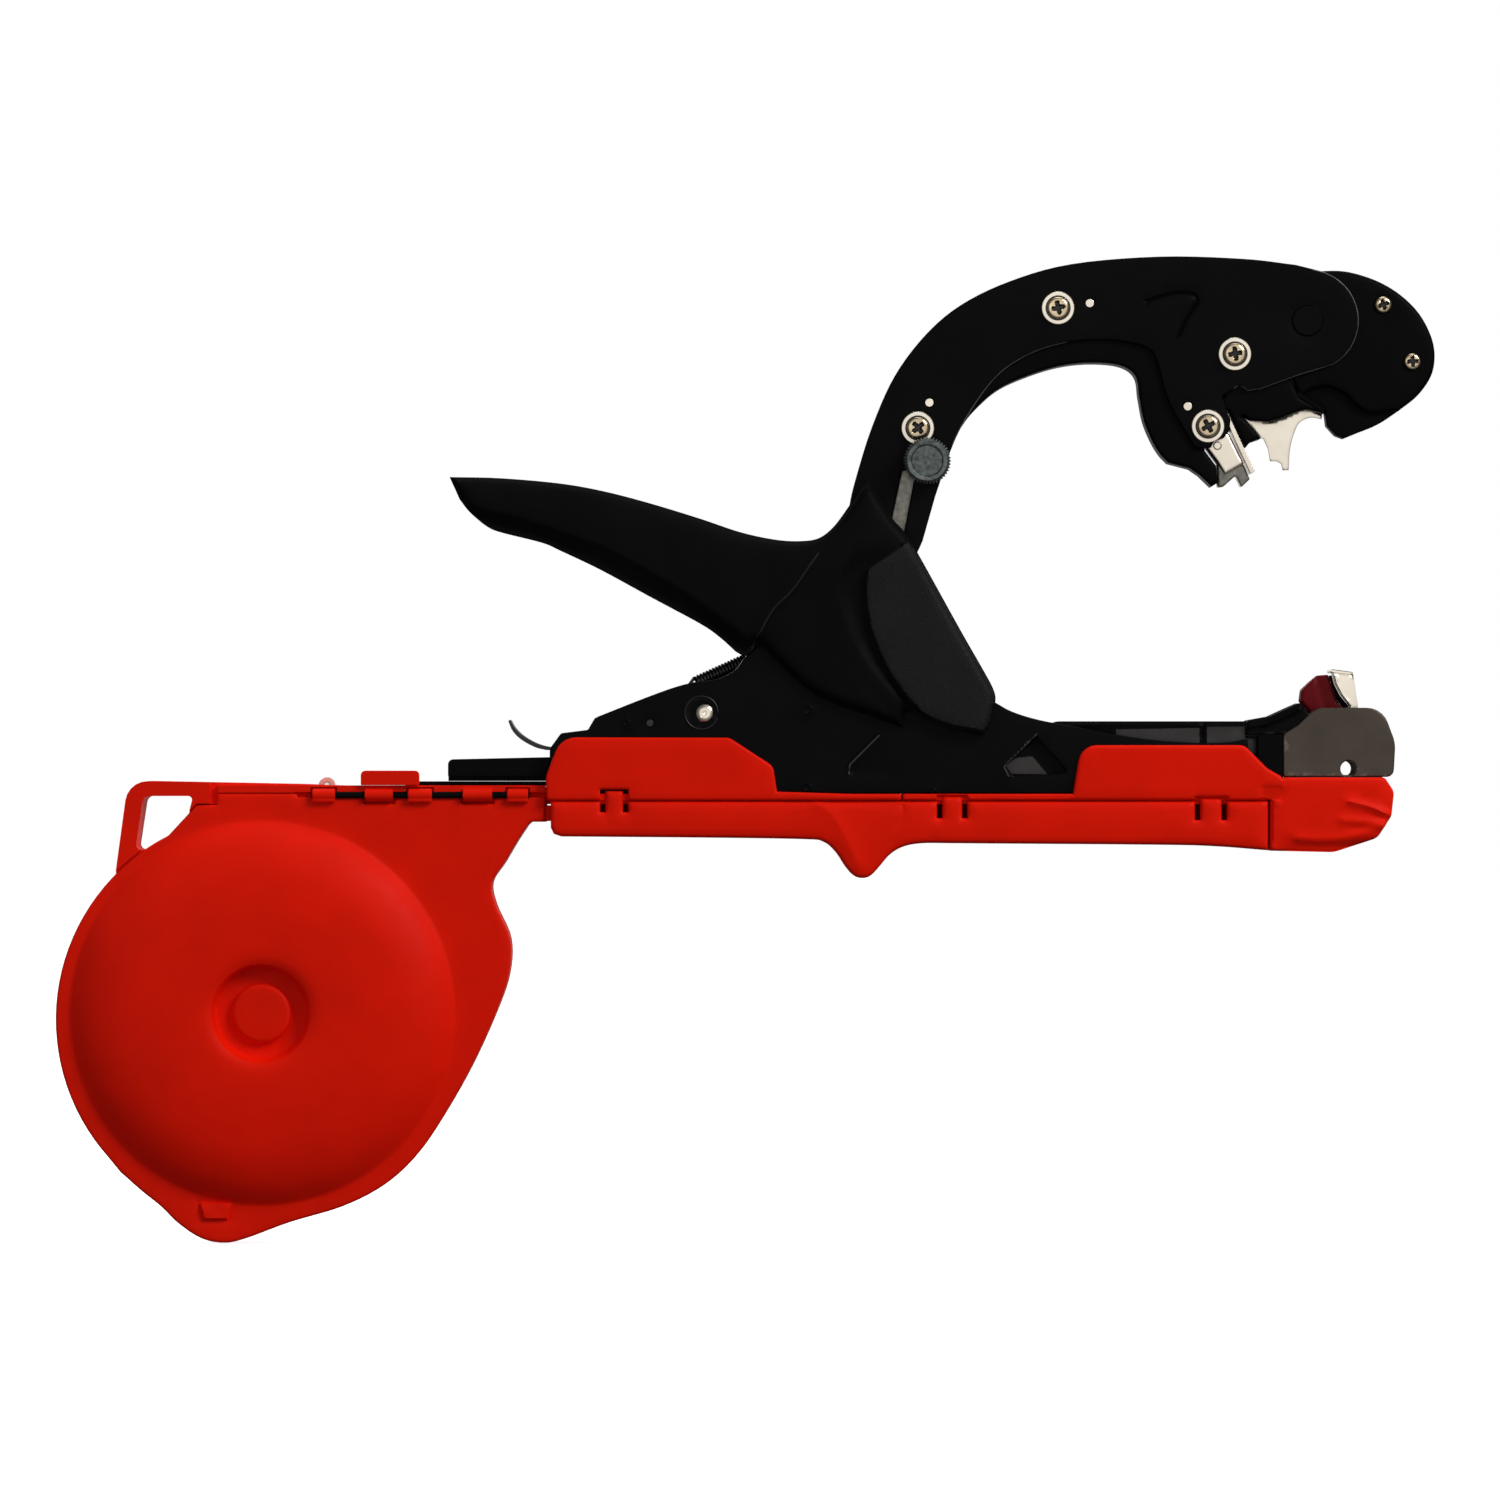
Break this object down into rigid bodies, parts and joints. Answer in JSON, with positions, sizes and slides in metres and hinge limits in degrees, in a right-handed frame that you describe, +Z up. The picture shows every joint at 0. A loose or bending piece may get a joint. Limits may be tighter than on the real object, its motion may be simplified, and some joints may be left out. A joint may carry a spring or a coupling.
{
  "type": "hand tapener",
  "caption": "Plier-like plant-tying stapler: red tape cassette and channel, black squeeze lever, and a curved jaw that wraps tape round a stem, staples and cuts it.",
  "frame": {"origin": "centre of the jaw arm's main pivot on the mid-plane, where the hand closes round the lever and frame", "axes": "+X towards the nose, +Z up towards the lever, -Y is the side of the cassette door"},
  "size_m": [0.3691, 0.0303, 0.2639],
  "materials": {
    "black_steel": "satin black coating",
    "black_plastic": "satin",
    "lever_plastic": "fine grain",
    "red_plastic": "satin",
    "bright_steel": "nickel plated",
    "grey_steel": "warm grey",
    "spring_steel": "black oxide",
    "maroon_pad": "satin",
    "zinc_knob": "zinc plated",
    "tape_film": "thin film",
    "core_board": "wound paper",
    "pale_plastic": "translucent"
  },
  "bodies": {
    "frame": {"side_plate_near": "black_steel", "side_plate_far": "black_steel", "plate_spacers": "bright_steel", "main_pivot_pin": "bright_steel", "pivot_rings": "bright_steel", "lever_pivot_pin": "bright_steel", "magazine": "grey_steel", "staple_stick": "bright_steel", "driver_block": "black_steel", "driver_blade": "bright_steel", "nose_plate": "grey_steel", "tape_clip": "bright_steel", "tape_gripper": "maroon_pad", "gripper_block": "black_plastic", "gripper_arm": "black_plastic", "rear_cover": "red_plastic", "front_cover": "red_plastic", "cassette_body": "red_plastic", "door_hinge_pin": "bright_steel", "door_tab": "red_plastic", "roller_pin": "bright_steel", "hook_spring": "spring_steel", "return_spring": "spring_steel", "cover_hinge_pin": "bright_steel"},
    "jaw_arm": {"arm_plate_near": "black_steel", "arm_plate_far": "black_steel", "arm_core": "black_plastic", "arm_screws": "bright_steel", "arm_washers": "bright_steel", "arm_dowels": "bright_steel", "adjuster_link": "bright_steel", "adjuster_stud": "bright_steel", "clincher": "bright_steel", "catch_plate": "bright_steel", "catch_strip": "bright_steel", "guard_pivot": "black_steel"},
    "guard": {"nose_guard": "black_plastic", "guard_screws": "bright_steel", "cutter_blade": "bright_steel"},
    "knob": {"adjuster_knob": "zinc_knob"},
    "lever": {"hand_lever": "lever_plastic", "press_roller": "bright_steel"},
    "channel_cover": {"tape_cover": "red_plastic"},
    "door": {"cassette_door": "red_plastic"},
    "roll": {"tape_roll": "tape_film", "roll_core": "core_board"},
    "small_roller": {"tension_roller": "pale_plastic"},
    "loader": {"loader": "black_plastic", "pusher_spring": "spring_steel"},
    "pusher": {"staple_pusher": "grey_steel"}
  },
  "joints": [
    {"name": "arm_close", "type": "hinge", "parent": "frame", "child": "jaw_arm", "pos_m": [0, 0, 0], "axis": [0, 1, 0], "range_deg": [0, 20], "stiffness_Nm_per_rad": 1, "springref_deg": -28.65, "deforming": ["return_spring"]},
    {"name": "lever_squeeze", "type": "hinge", "parent": "frame", "child": "lever", "pos_m": [0.07, 0, 0.001], "axis": [0, 1, 0], "range_deg": [-17, 0]},
    {"name": "guard_give", "type": "hinge", "parent": "jaw_arm", "child": "guard", "pos_m": [0.1612, 0, 0.105], "axis": [0, 1, 0], "range_deg": [-8, 0], "stiffness_Nm_per_rad": 0.1, "springref_deg": 17.19},
    {"name": "knob_turn", "type": "hinge", "parent": "jaw_arm", "child": "knob", "pos_m": [0.0593, -0.01, 0.0673], "axis": [0, 1, 0], "continuous": true},
    {"name": "channel_cover_open", "type": "hinge", "parent": "frame", "child": "channel_cover", "pos_m": [0.054, 0.013, -0.0234], "axis": [1, 0, 0], "range_deg": [0, 100]},
    {"name": "door_open", "type": "hinge", "parent": "frame", "child": "door", "pos_m": [-0.076, -0.008, -0.0219], "axis": [-1, 0, 0], "range_deg": [0, 100]},
    {"name": "roll_spin", "type": "hinge", "parent": "frame", "child": "roll", "pos_m": [-0.1184, 0, -0.0802], "axis": [0, 1, 0], "continuous": true},
    {"name": "small_roller_spin", "type": "hinge", "parent": "frame", "child": "small_roller", "pos_m": [-0.1018, 0.005, -0.0194], "axis": [0, 1, 0], "continuous": true},
    {"name": "loader_pull", "type": "slide", "parent": "frame", "child": "loader", "axis": [-1, 0, 0], "range_m": [0, 0.1]},
    {"name": "pusher_slide", "type": "slide", "parent": "loader", "child": "pusher", "axis": [1, 0, 0], "range_m": [-0.05, 0], "stiffness_N_per_m": 40, "springref_m": 0.03, "deforming": ["pusher_spring"]}
  ],
  "couplings": [
    {"joint": "lever_squeeze", "follows": "arm_close", "ratio": -0.85}
  ]
}
